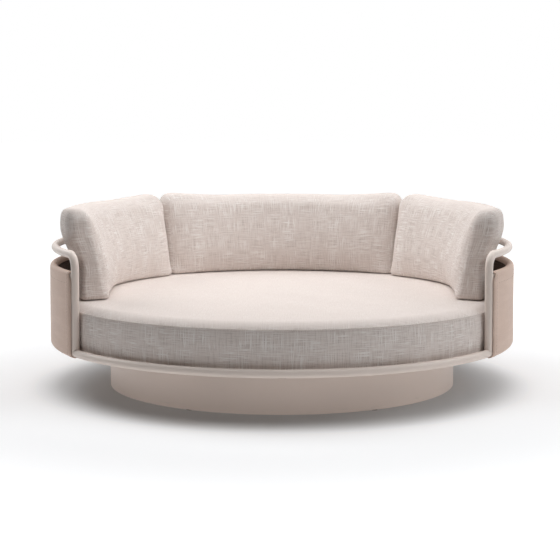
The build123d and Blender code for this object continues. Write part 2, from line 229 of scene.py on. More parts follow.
# Lamps: name, place, what it points at, side and power
LAMPS = (
    ("top_box", (0.0, 0.4, 4.6), (0, 0, 0.4), 5.0, 78),
    ("near_top_box", (0.0, 0.0, 3.0), (0, 0, 0.4), 3.0, 39),
    ("right_box", (5.2, -1.2, 3.6), (0, 0, 0.4), 3.0, 87),
    ("right_back_box", (4.0, 2.4, 4.0), (0, 0, 0.5), 2.5, 44),
    ("left_back_box", (-4.0, 2.4, 4.0), (0, 0, 0.5), 2.5, 102),
)

# Camera, as fitted to the circles of the bed
CAMERA_PLACE = (0.0, -7.028, 1.3106)
CAMERA_DOWN = 3.4
CAMERA_LENS = 96.985
CAMERA_SENSOR = 36.0
CAMERA_SHIFT = (-2 / 560, -0.1597)

dice = np.random.default_rng(7)


def around(radius, angle, height):
    """Points at a radius, an angle from the front and a height."""
    turn = np.radians(angle)
    radius, turn, height = np.broadcast_arrays(radius, turn, height)
    return np.stack([-radius * np.sin(turn), -radius * np.cos(turn), height], -1)


def smooth(share):
    """A step from 0 to 1 that starts and ends softly: 3 s squared less 2 s cubed."""
    share = np.clip(share, 0, 1)
    return share * share * (3 - 2 * share)


def waves(shortest, longest, count):
    """Wave numbers between two wavelengths, and a shift for each."""
    lengths = 2 * math.pi / dice.uniform(shortest, longest, count)
    return lengths, dice.uniform(0, 2 * math.pi, count)


def ripple(places, mix):
    """Sum of sines of the places, each with its own pitch and shift, scaled to about 1."""
    lengths, shifts = mix
    total = np.sin(places[..., None] * lengths + shifts).sum(-1)
    return total / math.sqrt(len(lengths))


def lengths_along(path):
    """Length along a path at each of its points: the sum of the steps up to it."""
    steps = np.linalg.norm(np.diff(path, axis=0), axis=1)
    return np.concatenate([[0], np.cumsum(steps)])


def quads(rows, columns):
    """Quads of a grid: each joins a point to its neighbours in the next row and column."""
    index = np.arange(rows * columns).reshape(rows, columns)
    corners = [index[:-1, :-1], index[1:, :-1], index[1:, 1:], index[:-1, 1:]]
    return np.stack(corners, -1).reshape(-1, 4)


def build(name, points, faces, flat=None, weld=0):
    """A piece from arrays of points, of quads and of each corner's place on the flat cloth.

    With a weld distance, points that meet are merged and the faces are turned outwards.
    """
    mesh = bpy.data.meshes.new(name)
    mesh.from_pydata(points.reshape(-1, 3).tolist(), [], faces.tolist())
    if flat is not None:
        layer = mesh.uv_layers.new(name="cloth")
        layer.data.foreach_set("uv", flat.astype(np.float32).ravel())
    if weld:
        work = bmesh.new()
        work.from_mesh(mesh)
        bmesh.ops.remove_doubles(work, verts=work.verts, dist=weld)
        bmesh.ops.dissolve_degenerate(work, edges=work.edges, dist=weld / 10)
        bmesh.ops.recalc_face_normals(work, faces=work.faces)
        work.to_mesh(mesh)
        work.free()
    mesh.polygons.foreach_set("use_smooth", np.ones(len(mesh.polygons), bool))
    piece = bpy.data.objects.new(name, mesh)
    bpy.context.scene.collection.objects.link(piece)
    return piece


def sew(name, patches, weld):
    """A piece from patches, each a grid of points and a grid of places on the flat cloth."""
    points = []
    faces = []
    flat = []
    count = 0
    for place, cloth in patches:
        cells = quads(*place.shape[:2])
        points.append(place.reshape(-1, 3))
        faces.append(cells + count)
        flat.append(cloth.reshape(-1, 2)[cells])
        count += len(points[-1])
    return build(name, np.concatenate(points), np.concatenate(faces), np.concatenate(flat), weld)


def read_points(mesh):
    """A mesh's points as an array."""
    found = np.empty(len(mesh.vertices) * 3, np.float32)
    mesh.vertices.foreach_get("co", found)
    return found.reshape(-1, 3).astype(float)


def subdivide(piece):
    """One level of smooth subdivision."""
    finer = piece.modifiers.new("Finer", "SUBSURF")
    finer.levels = 1
    finer.render_levels = 1
    finer.uv_smooth = "PRESERVE_BOUNDARIES"


def thicken(piece, thickness):
    """A wall of a thickness, half of it on each side of the surface."""
    wall = piece.modifiers.new("Wall", "SOLIDIFY")
    wall.thickness = thickness
    wall.offset = 0


def dress(piece, material, body):
    """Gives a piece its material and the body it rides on."""
    piece.data.materials.append(material)
    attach(piece, body)


# Finishes


class Socket:
    """A node's output. Sums and products of sockets and numbers add Math nodes."""

    def __init__(self, nodes, output):
        self.nodes = nodes
        self.output = output

    def math(self, operation, first, second):
        settings = {"operation": operation}
        return self.nodes.node("ShaderNodeMath", settings, {0: first, 1: second})

    def __add__(self, other):
        return self.math("ADD", self, other)

    def __sub__(self, other):
        return self.math("SUBTRACT", self, other)

    def __rsub__(self, other):
        return self.math("SUBTRACT", other, self)

    def __mul__(self, other):
        return self.math("MULTIPLY", self, other)

    __radd__ = __add__
    __rmul__ = __mul__

    def sine(self):
        return self.math("SINE", self, 0)


class Nodes:
    """A node tree that is built up from nothing."""

    def __init__(self, tree):
        self.tree = tree
        tree.nodes.clear()

    def node(self, kind, settings, sockets, output=0):
        """Adds a node: its settings first, then the values or links of its sockets."""
        made = self.tree.nodes.new(kind)
        for name, value in settings.items():
            setattr(made, name, value)
        for name, value in sockets.items():
            if isinstance(value, Socket):
                self.tree.links.new(value.output, made.inputs[name])
            else:
                made.inputs[name].default_value = value
        return Socket(self, made.outputs[output])

    def lead_out(self, kind, output):
        """Ends the tree in an output node."""
        ending = self.tree.nodes.new(kind)
        self.tree.links.new(output, ending.inputs[0])

    def shown_share(self):
        """1 for rays from the camera, off gloss or through glass, and 0 for the rest."""
        kinds = ("Is Camera Ray", "Is Glossy Ray", "Is Transmission Ray")
        camera_ray, glossy, through = (self.node("ShaderNodeLightPath", {}, {}, kind) for kind in kinds)
        settings = {"operation": "ADD", "use_clamp": True}
        return self.node("ShaderNodeMath", settings, {0: camera_ray + glossy, 1: through})


class Finish(Nodes):
    """A material of nodes that ends in one shader, with what is the same all over set on it."""

    def __init__(self, name, constants):
        self.material = bpy.data.materials.new(name)
        self.material.use_nodes = True
        super().__init__(self.material.node_tree)
        self.shader = self.tree.nodes.new("ShaderNodeBsdfPrincipled")
        for socket_name, value in constants.items():
            self.shader.inputs[socket_name].default_value = value
        self.lead_out("ShaderNodeOutputMaterial", self.shader.outputs[0])

    def object_place(self):
        return self.node("ShaderNodeTexCoord", {}, {}, "Object")

    def cloth_place(self):
        return self.node("ShaderNodeUVMap", {"uv_map": "cloth"}, {})

    def part_of(self, place, axis):
        return self.node("ShaderNodeSeparateXYZ", {}, {0: place}, axis)

    def stretched(self, place, scale):
        """A place scaled by its own number in each direction."""
        return self.node("ShaderNodeVectorMath", {"operation": "MULTIPLY"}, {0: place, 1: scale})

    def noise(self, place, scale=1.0, detail=2.0, roughness=0.5, kind="3D"):
        sockets = {"Vector": place, "Scale": scale, "Detail": detail, "Roughness": roughness}
        return self.node("ShaderNodeTexNoise", {"noise_dimensions": kind}, sockets)

    def cloth_noise(self, place, scale=1.0, detail=2.0, roughness=0.5):
        """Noise on the flat cloth."""
        return self.noise(place, scale, detail, roughness, "2D")

    def between(self, value, low, high):
        """0 below low, 1 above high and a soft rise between them."""
        settings = {"interpolation_type": "SMOOTHSTEP"}
        return self.node("ShaderNodeMapRange", settings, {"Value": value, 1: low, 2: high})

    def blend(self, share, first, second):
        """A colour that goes from the first to the second with the share."""
        settings = {"data_type": "RGBA", "clamp_factor": True}
        return self.node("ShaderNodeMix", settings, {0: share, 6: first, 7: second}, 2)

    def bump(self, height, distance):
        return self.node("ShaderNodeBump", {}, {"Height": height, "Distance": distance, "Strength": 1.0})

    def end(self, **varying):
        """Links what varies to the shader's sockets, named with _ for a space."""
        for name, value in varying.items():
            self.tree.links.new(value.output, self.shader.inputs[name.replace("_", " ")])
        return self.material


def paint(red, green, blue, scale=1.0):
    """A colour given as it shows, from 0 to 255, made linear and scaled."""
    shown = np.array([red, green, blue]) / 255
    linear = np.where(shown > 0.04045, ((shown + 0.055) / 1.055) ** 2.4, shown / 12.92)
    return (*(linear * scale).tolist(), 1.0)


def powder_coat(name, shade):
    """Matte powder coat: orange peel in the bump, a tone that drifts, and scuffs near the floor."""
    constants = {"IOR": 1.5, "Specular IOR Level": 0.5, "Coat Weight": 0.4, "Coat Roughness": 0.4}
    finish = Finish(name, constants)
    place = finish.object_place()
    drift = finish.noise(place, scale=2.3, detail=3.0)
    peel = finish.noise(place, scale=330.0, roughness=0.6)
    speck = finish.noise(place, scale=1400.0, detail=1.0)
    low = 1 - finish.between(finish.part_of(place, 2), 0.0, 0.05)
    scrape = finish.noise(finish.stretched(place, (9, 9, 60)), detail=4.0, roughness=0.7)
    scuffs = low * finish.between(scrape, 0.52, 0.72)
    tone = finish.blend(drift, paint(*shade, 0.93), paint(*shade, 1.06))
    dusty = finish.blend(scuffs * 0.35, tone, paint(196, 188, 180))
    return finish.end(
        Base_Color=finish.blend(finish.between(speck, 0.6, 0.8) * 0.12, dusty, paint(214, 206, 198)),
        Roughness=0.44 + 0.16 * drift + 0.1 * scuffs,
        Normal=finish.bump(peel, 0.00006),
    )


def linen():
    """Slubby linen: a fine plain weave with thick and thin yarns that run on for a hand's width.

    The slubs are noise drawn out along each direction of the cloth, and come and go in patches.
    They are painted fainter where the cloth faces up: painted light, standing in for the light from
    above washing out the yarns' relief.
    """
    constants = {"IOR": 1.45, "Specular IOR Level": 0.25, "Sheen Weight": 0.12, "Sheen Roughness": 0.5}
    finish = Finish("slub_linen", constants)
    place = finish.cloth_place()
    across = finish.cloth_noise(finish.stretched(place, (270.0, 11.0, 1.0)), detail=3.0, roughness=0.65)
    along = finish.cloth_noise(finish.stretched(place, (11.0, 270.0, 1.0)), detail=3.0, roughness=0.65)
    patch_one = finish.cloth_noise(place, scale=11.0)
    patch_two = finish.cloth_noise(finish.stretched(place, (-1.0, 1.0, 1.0)), scale=9.0)
    slub = finish.between(across, 0.54, 0.64) * (0.3 + finish.between(patch_one, 0.40, 0.60))
    slub_two = finish.between(along, 0.54, 0.64) * (0.3 + finish.between(patch_two, 0.40, 0.60))
    dark = finish.between(1 - across, 0.52, 0.66) + finish.between(1 - along, 0.52, 0.66)
    yarn = math.pi / LINEN_YARN
    weave = (finish.part_of(place, 0) * yarn).sine() * (finish.part_of(place, 1) * yarn).sine()
    fuzz = finish.cloth_noise(place, scale=900.0, roughness=0.6)
    # Painted light: the slubs and dark yarns are painted fainter on faces that point up, as if the top
    # light washed out their relief.
    facing_up_for_painted_light = finish.part_of(finish.node("ShaderNodeNewGeometry", {}, {}, "Normal"), 2)
    shows = 0.74 - 0.54 * finish.between(facing_up_for_painted_light, 0.6, 0.95)
    body = finish.blend(dark * shows * 0.45, paint(233, 222, 216), paint(186, 173, 166))
    lighter = finish.blend(slub * shows, body, paint(252, 247, 243))
    relief = weave * 0.35 + slub * 0.7 + slub_two * 0.7 + fuzz * 0.25
    return finish.end(
        Base_Color=finish.blend(slub_two * shows, lighter, paint(251, 246, 242)),
        Roughness=0.82 + 0.1 * fuzz,
        Normal=finish.bump(relief, 0.00028),
    )


def hide():
    """Coated hide of the sling: pebbled grain on a slow swell, and a tone that drifts with handling."""
    finish = Finish("sling_hide", {"IOR": 1.5, "Specular IOR Level": 0.45})
    place = finish.cloth_place()
    settings = {"voronoi_dimensions": "2D", "feature": "F1"}
    sockets = {"Vector": place, "Scale": 420.0, "Randomness": 1.0}
    pebble = finish.node("ShaderNodeTexVoronoi", settings, sockets)
    swell = finish.cloth_noise(place, scale=160.0)
    fine = finish.cloth_noise(place, scale=900.0, detail=3.0, roughness=0.6)
    cloud = finish.cloth_noise(place, scale=5.0, detail=4.0, roughness=0.55)
    streak = finish.cloth_noise(finish.stretched(place, (4.0, 30.0, 1.0)), detail=3.0, roughness=0.6)
    grain = 1 - finish.between(pebble, 0.15, 0.75)
    relief = grain * 0.8 + fine * 0.35 + swell * 0.25
    ground = finish.blend(cloud, paint(210, 184, 169), paint(227, 202, 187))
    streaked = finish.blend(finish.between(streak, 0.45, 0.75) * 0.3, ground, paint(234, 211, 197))
    return finish.end(
        Base_Color=finish.blend((1 - grain) * 0.2, streaked, paint(172, 144, 129)),
        Roughness=0.46 + 0.14 * cloud + 0.1 * (1 - grain),
        Normal=finish.bump(relief, 0.00022),
    )


def woven_mesh():
    """Coated outdoor mesh: round yarns over and under each other. Its dark brown is partly painted shade
    for the sling's shaded inside, and the gaps between the yarns are painted near black as shade.
    """
    finish = Finish("woven_mesh", {"IOR": 1.5, "Specular IOR Level": 0.4})
    place = finish.cloth_place()
    yarn = math.pi / MESH_YARN
    crossing = (finish.part_of(place, 0) * yarn).sine() * (finish.part_of(place, 1) * yarn).sine()
    tint = finish.cloth_noise(finish.stretched(place, (2.0, 240.0, 1.0)))
    # Painted shade: the gaps between the yarns are darkened to near black, and the strands' dark brown
    # is partly painted shade too.
    painted_shade_gap = 1 - finish.between(crossing * crossing, 0.02, 0.35)
    strand = finish.blend(tint, paint(104, 86, 75), paint(150, 130, 116))
    return finish.end(
        Base_Color=finish.blend(painted_shade_gap * 0.6, strand, paint(48, 38, 32)),
        Roughness=0.5 + 0.2 * painted_shade_gap,
        Normal=finish.bump(0.5 + 0.5 * crossing, 0.0004),
    )


def thread():
    """Twisted sewing thread, a shade darker than the hide."""
    finish = Finish("sewing_thread", {"IOR": 1.45, "Specular IOR Level": 0.3})
    twist = finish.noise(finish.object_place(), scale=2600.0)
    return finish.end(
        Base_Color=finish.blend(twist, paint(128, 98, 84), paint(160, 130, 114)),
        Roughness=0.55 + 0.2 * twist,
        Normal=finish.bump(twist, 0.0001),
    )


def turned_steel():
    """Zinc plated steel: fine lines and a spangled tone."""
    finish = Finish("zinc_steel", {"IOR": 2.5, "Metallic": 1.0})
    place = finish.object_place()
    lines = finish.noise(finish.stretched(place, (30, 30, 2400)))
    spangle = finish.noise(place, scale=120.0)
    return finish.end(
        Base_Color=finish.blend(spangle, paint(168, 168, 166), paint(206, 205, 200)),
        Roughness=0.28 + 0.2 * lines,
        Normal=finish.bump(lines, 0.00003),
    )


def moulded_plastic():
    """Black moulded plastic with a spark-eroded grain."""
    finish = Finish("moulded_plastic", {"IOR": 1.5, "Specular IOR Level": 0.4})
    place = finish.object_place()
    grain = finish.noise(place, scale=1100.0, roughness=0.6)
    scuff = finish.noise(place, scale=60.0, detail=4.0, roughness=0.7)
    return finish.end(
        Base_Color=finish.blend(scuff, paint(30, 29, 28), paint(58, 56, 54)),
        Roughness=0.5 + 0.2 * scuff,
        Normal=finish.bump(grain, 0.00008),
    )


frame_coat = powder_coat("frame_coat", (231, 217, 208))
slat_coat = powder_coat("slat_coat", (222, 208, 199))
cover_linen = linen()
sling_hide = hide()
sling_mesh = woven_mesh()
sling_thread = thread()

coats = {
    "deck_slats": slat_coat,
    "base_bolts": turned_steel(),
    "base_glides": moulded_plastic(),
}
replaced = {"back_panel", "panel_lining", "mattress_cover", "mattress_core"}
for cushion_name, *_ in CUSHIONS:
    replaced |= {f"{cushion_name}_cover", f"{cushion_name}_core"}
for node_name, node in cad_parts.items():
    if node_name not in replaced:
        node.data.materials.clear()
        node.data.materials.append(coats.get(node_name, frame_coat))


# Mattress


def mattress_height(radius):
    """Height of the crowned top at a radius: it falls off with the radius squared."""
    return MATTRESS_TOP - MATTRESS_CROWN * (radius / MATTRESS_SIDE) ** 2


seam_turn = math.radians(SEAM_TURN)
edge_start = MATTRESS_SIDE - MATTRESS_EDGE_ROUND * math.cos(seam_turn) - SEAM_INSET
edge_centre_height = mattress_height(edge_start) - MATTRESS_EDGE_ROUND
seam_place = edge_start + MATTRESS_EDGE_ROUND * math.cos(seam_turn)
seam_height = edge_centre_height + MATTRESS_EDGE_ROUND * math.sin(seam_turn)


def disc_grid(cells):
    """A square grid drawn into a disc of radius 1: each square ring becomes a circle."""
    line = np.linspace(-1, 1, cells + 1)
    first, second = np.meshgrid(line, line, indexing="ij")
    wide = np.abs(first) > np.abs(second)
    larger = np.where(wide, first, second)
    smaller = np.where(wide, second, first)
    share = smaller / np.where(larger == 0, 1, larger)
    turn = np.where(wide, share * math.pi / 4, math.pi / 2 - share * math.pi / 4)
    return larger * np.cos(turn), larger * np.sin(turn)


def arc_path(radius, height, bend, turns):
    """Radii and heights of an arc of a section round a place, at some turns."""
    return np.stack([radius + bend * np.cos(turns), height + bend * np.sin(turns)], -1)


def swing(path, columns):
    """A profile of radii and heights carried once round the axis, with the angles of its columns."""
    turns = np.linspace(-math.pi / 4, 2 * math.pi - math.pi / 4, columns + 1)
    radius = path[:, 0][:, None]
    height = np.broadcast_to(path[:, 1][:, None], (len(path), columns + 1))
    return np.stack([radius * np.cos(turns), radius * np.sin(turns), height], -1), turns


def band_cloth(angles, run):
    """Places on the flat cloth of a band round the mattress."""
    return np.stack(np.broadcast_arrays(angles * MATTRESS_SIDE, run[:, None]), -1)


gather_top = waves(0.045, 0.15, 9)
gather_side = waves(0.05, 0.16, 9)
dips_across = waves(0.30, 0.85, 5)
dips_along = waves(0.30, 0.85, 5)


def gathered(points, seam_distance, gather, depth):
    """How far the cover stands out by the small gathers that run out of the seam.

    A gather is a ripple of the place round the rim that dies away with the distance to the seam.
    """
    arc = np.arctan2(points[..., 1], points[..., 0]) * MATTRESS_RADIUS
    fade = np.exp(-seam_distance / GATHER_REACH) * (1 - np.exp(-seam_distance / GATHER_START))
    return depth * fade * ripple(arc, gather)


def make_mattress():
    """Closed cover: a crowned disc, a rounded edge, a seam, a bellied side and a flat underside."""
    east, north = disc_grid(MATTRESS_CELLS)
    columns = 4 * MATTRESS_CELLS
    reach = np.hypot(east, north) * edge_start
    top = np.stack([east * edge_start, north * edge_start, mattress_height(reach)], -1)
    softness = ripple(top[..., 0], dips_across) * ripple(top[..., 1], dips_along)
    top[..., 2] -= DIP_DEPTH * (1 + np.tanh(softness)) * smooth((DIP_RADIUS - reach) / DIP_FADE)
    arc_to_seam = MATTRESS_EDGE_ROUND * (math.pi / 2 - seam_turn)
    lift = gathered(top, edge_start - reach + arc_to_seam, gather_top, GATHER_TOP)
    top[..., 2] += lift * smooth(reach / GATHER_INNER)

    turns = np.linspace(math.pi / 2, seam_turn, SHOULDER_ROWS)
    shoulder_path = arc_path(edge_start, edge_centre_height, MATTRESS_EDGE_ROUND, turns)
    shoulder, angles = swing(shoulder_path, columns)
    shoulder_run = lengths_along(shoulder_path)[:, None]
    lift = gathered(shoulder, arc_to_seam - shoulder_run, gather_top, GATHER_TOP)
    shoulder[..., 2] += lift * np.sin(turns)[:, None]
    shoulder[..., :2] *= 1 + (lift * np.cos(turns)[:, None] / MATTRESS_SIDE)[..., None]
    from_middle = edge_start + shoulder_run
    shoulder_cloth = np.stack([np.cos(angles) * from_middle, np.sin(angles) * from_middle], -1)

    lowest = MATTRESS_BOTTOM + MATTRESS_CHAMFER
    down = np.linspace(0, 1, BELLY_ROWS)
    belly = MATTRESS_BELLY * np.sin(math.pi * down) ** BELLY_POWER
    side_radius = seam_place + (MATTRESS_SIDE - seam_place) * down + belly
    side_path = np.stack([side_radius, seam_height + (lowest - seam_height) * down], -1)
    side, _ = swing(side_path, columns)
    side_run = lengths_along(side_path)
    lift = gathered(side, side_run[:, None], gather_side, GATHER_SIDE)
    side[..., :2] *= 1 + (lift / MATTRESS_SIDE)[..., None]

    under_edge = MATTRESS_SIDE - MATTRESS_CHAMFER
    under_turns = np.linspace(0, -math.pi / 2, UNDER_ROWS)
    under_path = arc_path(under_edge, lowest, MATTRESS_CHAMFER, under_turns)
    under, _ = swing(under_path, columns)
    under_cloth = band_cloth(angles, SIDE_CLOTH - side_run[-1] - lengths_along(under_path))
    bottom_height = np.full_like(east, MATTRESS_BOTTOM)
    bottom = np.stack([east * under_edge, north * under_edge, bottom_height], -1)

    patches = [
        (top, top[..., :2]),
        (shoulder, shoulder_cloth),
        (side, band_cloth(angles, SIDE_CLOTH - side_run)),
        (under, under_cloth),
        (bottom, bottom[..., :2]),
    ]
    piece = sew("mattress", patches, MATTRESS_WELD)
    dress(piece, cover_linen, "mattress")
    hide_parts("mattress_cover", "mattress_core")


def make_seam():
    """Raised seam round the mattress: a round of cloth carried round the rim."""
    middle = seam_place + SEAM_RADIUS * SEAM_OUT
    height = seam_height + SEAM_RADIUS * SEAM_UP
    path = arc_path(middle, height, SEAM_RADIUS, np.linspace(0, 2 * math.pi, SEAM_GIRTH))
    ridge, angles = swing(path, SEAM_COLUMNS)
    cloth = band_cloth(angles, SEAM_CLOTH + lengths_along(path))
    piece = sew("mattress_seam", [(ridge, cloth)], SEAM_WELD)
    dress(piece, cover_linen, "mattress")


# Back cushions


def box_line(half, corner, cell):
    """Places along one side of a rounded box: even in the middle and closer round its corners."""
    turns = np.radians(np.linspace(45, 0, CORNER_STEPS, endpoint=False))
    band = half - corner + corner * np.tan(turns)
    count = max(round(2 * (half - corner) / cell), 2)
    middle = np.linspace(corner - half, half - corner, count + 1)
    return np.concatenate([-band, middle, band[::-1]])


def rounded(points, half, corner):
    """Points on a box drawn onto its rounded form: each lies on an ellipsoid round its core."""
    core = np.clip(points, corner - half, half - corner)
    out = (points - core) / corner
    return core + corner * out / np.linalg.norm(out, axis=-1, keepdims=True)


def corner_sizes(points, half, thickness):
    """Rounding of a cushion's edges along it, through it and up it, at points on its box.

    It goes from the foot's to the top's. The back's top edge is sharper away from the ends, and
    the foot's inner corners at the ends are rounder.
    """
    rise = smooth((points[..., 2] + half[2]) / (2 * half[2]))
    ending = smooth(1 - (half[0] - np.abs(points[..., 0])) / END_LENGTH)
    behind = smooth(0.5 + points[..., 1] / thickness) * (1 - ending)
    inside = ending * smooth(0.5 - points[..., 1] / thickness)
    top_face = FACE_ROUND[1] + (BACK_ROUND - FACE_ROUND[1]) * behind
    top_height = HEIGHT_ROUND[1] + (BACK_ROUND - HEIGHT_ROUND[1]) * behind
    foot_face = FACE_ROUND[0] + (END_FACE_ROUND - FACE_ROUND[0]) * inside
    face_round = foot_face + (top_face - foot_face) * rise
    height_round = HEIGHT_ROUND[0] + (top_height - HEIGHT_ROUND[0]) * rise
    return np.stack([np.full_like(rise, END_ROUND), face_round, height_round], -1)


def bend_cushion(points, half, place):
    """Puts a box's points into a cushion that leans back and goes round the bed.

    Its inside leans evenly and its back in a soft step up to the rail. Its face is crowned by a
    sine of the height, its top by the square of the thickness, and the crown dies out at both
    ends. Before the near end the foot swells in by a bell curve of the angle.
    """
    first, last, foot_inner, foot_outer = place
    along, through, up = (points[..., axis] for axis in range(3))
    angle = (first + last) / 2 + np.degrees(along / CUSHION_MIDDLE)
    rise = (up + half[2]) / (2 * half[2])
    share = through / half[1]
    side_angle = np.minimum(angle, 360 - angle)
    swell = FOOT_SWELL * np.exp(-(((side_angle - SWELL_ANGLE) / SWELL_WIDTH) ** 2))
    top_inner = CUSHION_TOP_OUTER - CUSHION_TOP_THICKNESS
    inner = foot_inner + (top_inner - foot_inner) * rise - swell * (1 - np.clip(rise, 0, 1)) ** 2
    outer = foot_outer + (CUSHION_TOP_OUTER - foot_outer) * smooth((rise - LEAN_START) / LEAN_REACH)
    from_end = half[0] - np.abs(along)
    ending = np.clip(1 - from_end / DROP_LENGTH, 0, 1) ** 2
    thickness = (outer - inner - 2 * FILL_ROOM) * (1 - END_TAPER * ending * rise)
    slow_growth = CROWN_SHARES[0] + CROWN_SHARES[1] * smooth(from_end / CROWN_LENGTHS[1])
    fullness = smooth(from_end / CROWN_LENGTHS[0]) * slow_growth
    crown = np.sin(math.pi * np.clip(rise, 0, 1) ** CROWN_PLACE) * fullness
    radius = (inner + outer) / 2 + share * thickness / 2
    radius = radius - (1 - share) / 2 * FACE_CROWN * crown
    arch = 1 - ((share - TOP_PEAK) / (1 + TOP_PEAK)) ** 2
    top = TOP_CROWN * arch - TOP_SAG * smooth(from_end / SAG_LENGTH) - END_DROP * ending
    height = mattress_height(radius) + SEAT_GAP + rise * (CUSHION_HEIGHT - FILL_ROOM) + rise**3 * top
    return around(radius, angle, height)


def make_cushion(name, first, last, foot_inset, lean):
    """Closed cushion from the six sides of a rounded box, blown up and kept off its neighbours."""
    foot_inner = MATTRESS_RADIUS - foot_inset
    foot_outer = CUSHION_TOP_OUTER - lean
    thickness = (foot_outer - foot_inner + CUSHION_TOP_THICKNESS) / 2
    half = np.array([math.radians(last - first) * CUSHION_MIDDLE, thickness, CUSHION_HEIGHT]) / 2
    lines = [box_line(size, END_ROUND, CUSHION_CELL) for size in half]
    place = (first, last, foot_inner, foot_outer)
    patches = []
    for axis in range(3):
        one, two = [other for other in range(3) if other != axis]
        grid_one, grid_two = np.meshgrid(lines[one], lines[two], indexing="ij")
        for side in (-1, 1):
            points = np.empty((*grid_one.shape, 3))
            points[..., one] = grid_one
            points[..., two] = grid_two
            points[..., axis] = side * half[axis]
            corner = corner_sizes(points, half, thickness)
            formed = bend_cushion(rounded(points, half, corner), half, place)
            cloth = np.stack([grid_one + CUSHION_CLOTH * axis, grid_two + side], -1)
            patches.append((formed, cloth))
    piece = sew(name, patches, CUSHION_WELD)
    fill_out(piece, first, last)
    subdivide(piece)
    dress(piece, cover_linen, name)
    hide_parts(f"{name}_cover", f"{name}_core")


def keep_off(points, first, last):
    """Points moved back where they would press into the mattress, the rail or a neighbour."""
    radius = np.hypot(points[:, 0], points[:, 1])
    angle = np.degrees(np.arctan2(-points[:, 0], -points[:, 1])) % 360
    margin = math.degrees(FILL_MARGIN / CUSHION_MIDDLE)
    angle = np.clip(angle, first + margin, last - margin)
    radius = np.minimum(radius, CUSHION_TOP_OUTER + FILL_MARGIN)
    height = np.maximum(points[:, 2], mattress_height(radius) + SEAT_GAP)
    return around(radius, angle, height)


def calmed(mesh, moved):
    """Moves evened out over the cloth: each becomes the mean of its neighbours', some times over."""
    ends = np.empty(len(mesh.edges) * 2, np.int32)
    mesh.edges.foreach_get("vertices", ends)
    one, two = ends.reshape(-1, 2).T
    size = len(moved)
    count = np.bincount(ends, minlength=size)[:, None]
    for _ in range(CALM_ROUNDS):
        totals = []
        for part in moved.T:
            totals.append(np.bincount(one, part[two], size) + np.bincount(two, part[one], size))
        moved = (moved + np.stack(totals, -1) / count) / 2
    return moved


def fill_out(piece, first, last):
    """Blows the cover up from inside as its filling does, each point by the cap at most.
    """
    mesh = piece.data
    start = read_points(mesh)
    cloth = piece.modifiers.new("Cloth", "CLOTH")
    cloth.settings.use_pressure = True
    cloth.settings.uniform_pressure_force = CLOTH_PRESSURE
    cloth.settings.effector_weights.gravity = 0
    cloth.settings.quality = CLOTH_QUALITY
    cloth.point_cache.frame_start = 1
    cloth.point_cache.frame_end = CLOTH_FRAMES
    for step in range(1, CLOTH_FRAMES + 1):
        bpy.context.scene.frame_set(step)
    done = piece.evaluated_get(bpy.context.evaluated_depsgraph_get())
    moved = read_points(done.data) - start
    distance = np.linalg.norm(moved, axis=1, keepdims=True)
    shortened = moved * np.minimum(1, FILL_CAP / np.maximum(distance, 1e-9))
    shortened *= smooth((start[:, 2:] - MATTRESS_TOP + MATTRESS_CROWN) / FOOT_REACH)
    ended = keep_off(start + calmed(mesh, shortened), first, last)
    piece.modifiers.remove(cloth)
    mesh.vertices.foreach_set("co", ended.astype(np.float32).ravel())
    mesh.update()
    bpy.context.scene.frame_set(1)


# Sling panel


def sling_path():
    """Middle line of the skin's section: flap, roll over the hem tube, side and wrap under the ring."""
    roll = ROLL_RADIUS - SKIN / 2
    wrap = PANEL_RADIUS - RING_RADIUS - SKIN / 2
    flap_heights = ROLL_HEIGHT - FLAP * np.linspace(1, 0, FLAP_ROWS + 1)[:-1]
    flap = np.stack([np.full(FLAP_ROWS, ROLL_PLACE - roll), flap_heights], -1)
    rolled = arc_path(ROLL_PLACE, ROLL_HEIGHT, roll, np.linspace(math.pi, 0, ROLL_ROWS))
    down = np.linspace(ROLL_HEIGHT, RING_HEIGHT, SIDE_ROWS + 2)[1:-1]
    side = np.stack([np.full(SIDE_ROWS, PANEL_RADIUS - SKIN / 2), down], -1)
    below = np.radians(np.linspace(0, -WRAP_TURN, WRAP_ROWS))
    wrapped = arc_path(RING_RADIUS, RING_HEIGHT, wrap, below)
    return np.concatenate([flap, rolled, side, wrapped])


def path_out(path):
    """Outward direction at each point of a path: its run turned by a right angle."""
    run = np.gradient(path, axis=0)
    run /= np.linalg.norm(run, axis=1, keepdims=True)
    return np.stack([-run[:, 1], run[:, 0]], -1)


hide_pull = waves(0.16, 0.55, 7)
hide_top = waves(0.05, 0.14, 7)
skin_path = sling_path()
skin_out = path_out(skin_path)
skin_run = lengths_along(skin_path)
roll_crest = skin_run[ROLL_CREST]
roll_end = skin_run[ROLL_END]
sling_width = math.radians(360 - 2 * PANEL_START) * PANEL_RADIUS


def pull(arc, run):
    """How far the stretched skin stands out of its true round at a place on it.

    A slow ripple in the middle of the height, small gathers that die away below the roll, and
    the folded hem at both ends.
    """
    middle = np.sin(math.pi * np.clip((run - roll_end) / (skin_run[-WRAP_ROWS] - roll_end), 0, 1))
    past_crest = smooth((run - roll_crest) / PULL_START)
    gathers = np.exp(-np.abs(run - skin_run[ROLL_END + 1]) / PULL_FADE) * past_crest
    near_end = smooth(arc / PULL_END) * smooth((sling_width - arc) / PULL_END)
    slow = SLOW_PULL * middle * (1 + np.tanh(ripple(arc, hide_pull)))
    quick = QUICK_PULL * gathers * (1 + np.tanh(ripple(arc, hide_top)))
    from_end = np.minimum(arc, sling_width - arc)
    folded = HEM_RISE * (1 - smooth((from_end - HEM_WIDTH) / HEM_FOLD))
    return (slow + quick) * near_end + folded * past_crest


